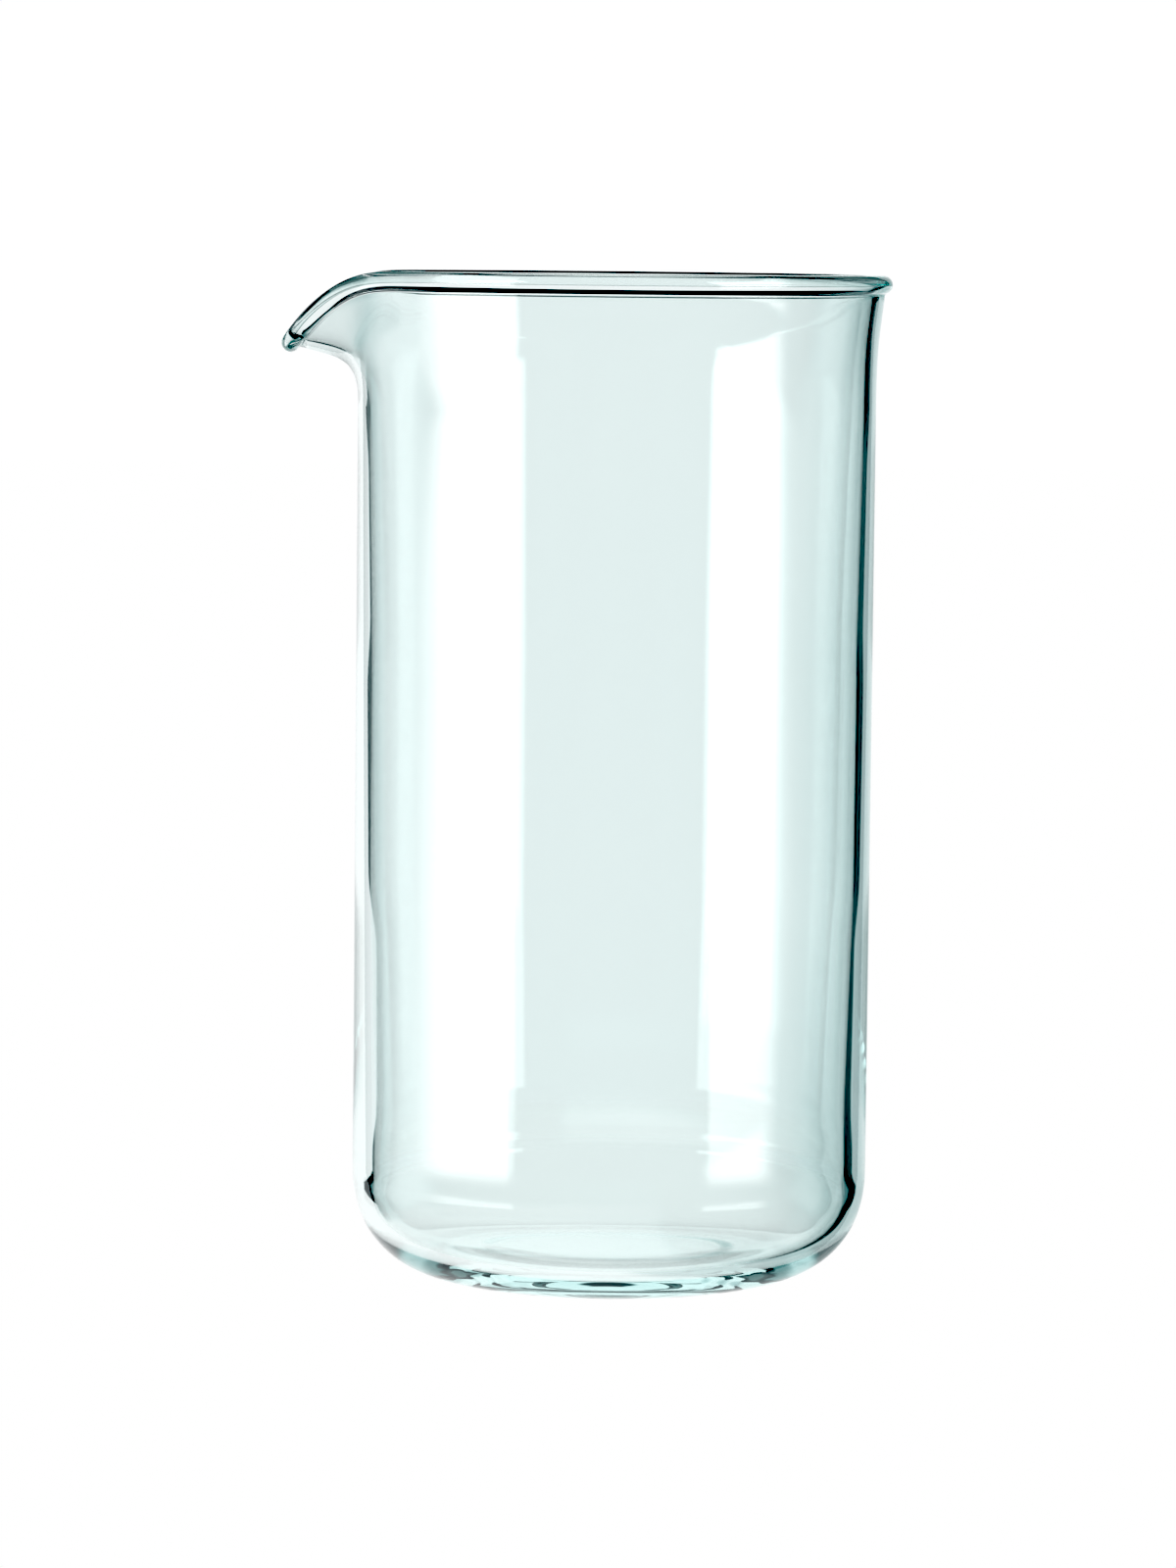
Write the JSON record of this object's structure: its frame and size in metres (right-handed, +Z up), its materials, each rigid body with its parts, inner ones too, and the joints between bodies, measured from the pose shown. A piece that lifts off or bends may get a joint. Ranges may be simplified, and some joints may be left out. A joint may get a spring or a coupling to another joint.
{
  "type": "beaker",
  "caption": "Tall clear glass beaker with a rounded heel, straight wall, beaded rim and a beak-shaped pouring lip.",
  "frame": {"origin": "centre of the standing ring's flat underside, on the vessel's axis", "axes": "+Z up along the vessel's axis, the pouring lip points along -X"},
  "size_m": [0.0824, 0.074, 0.1362],
  "materials": {
    "clear_glass": "clear blown borosilicate glass, fire-polished, with a faint blue-green tint"
  },
  "bodies": {
    "root": {"glass_beaker": "clear_glass"}
  },
  "joints": []
}
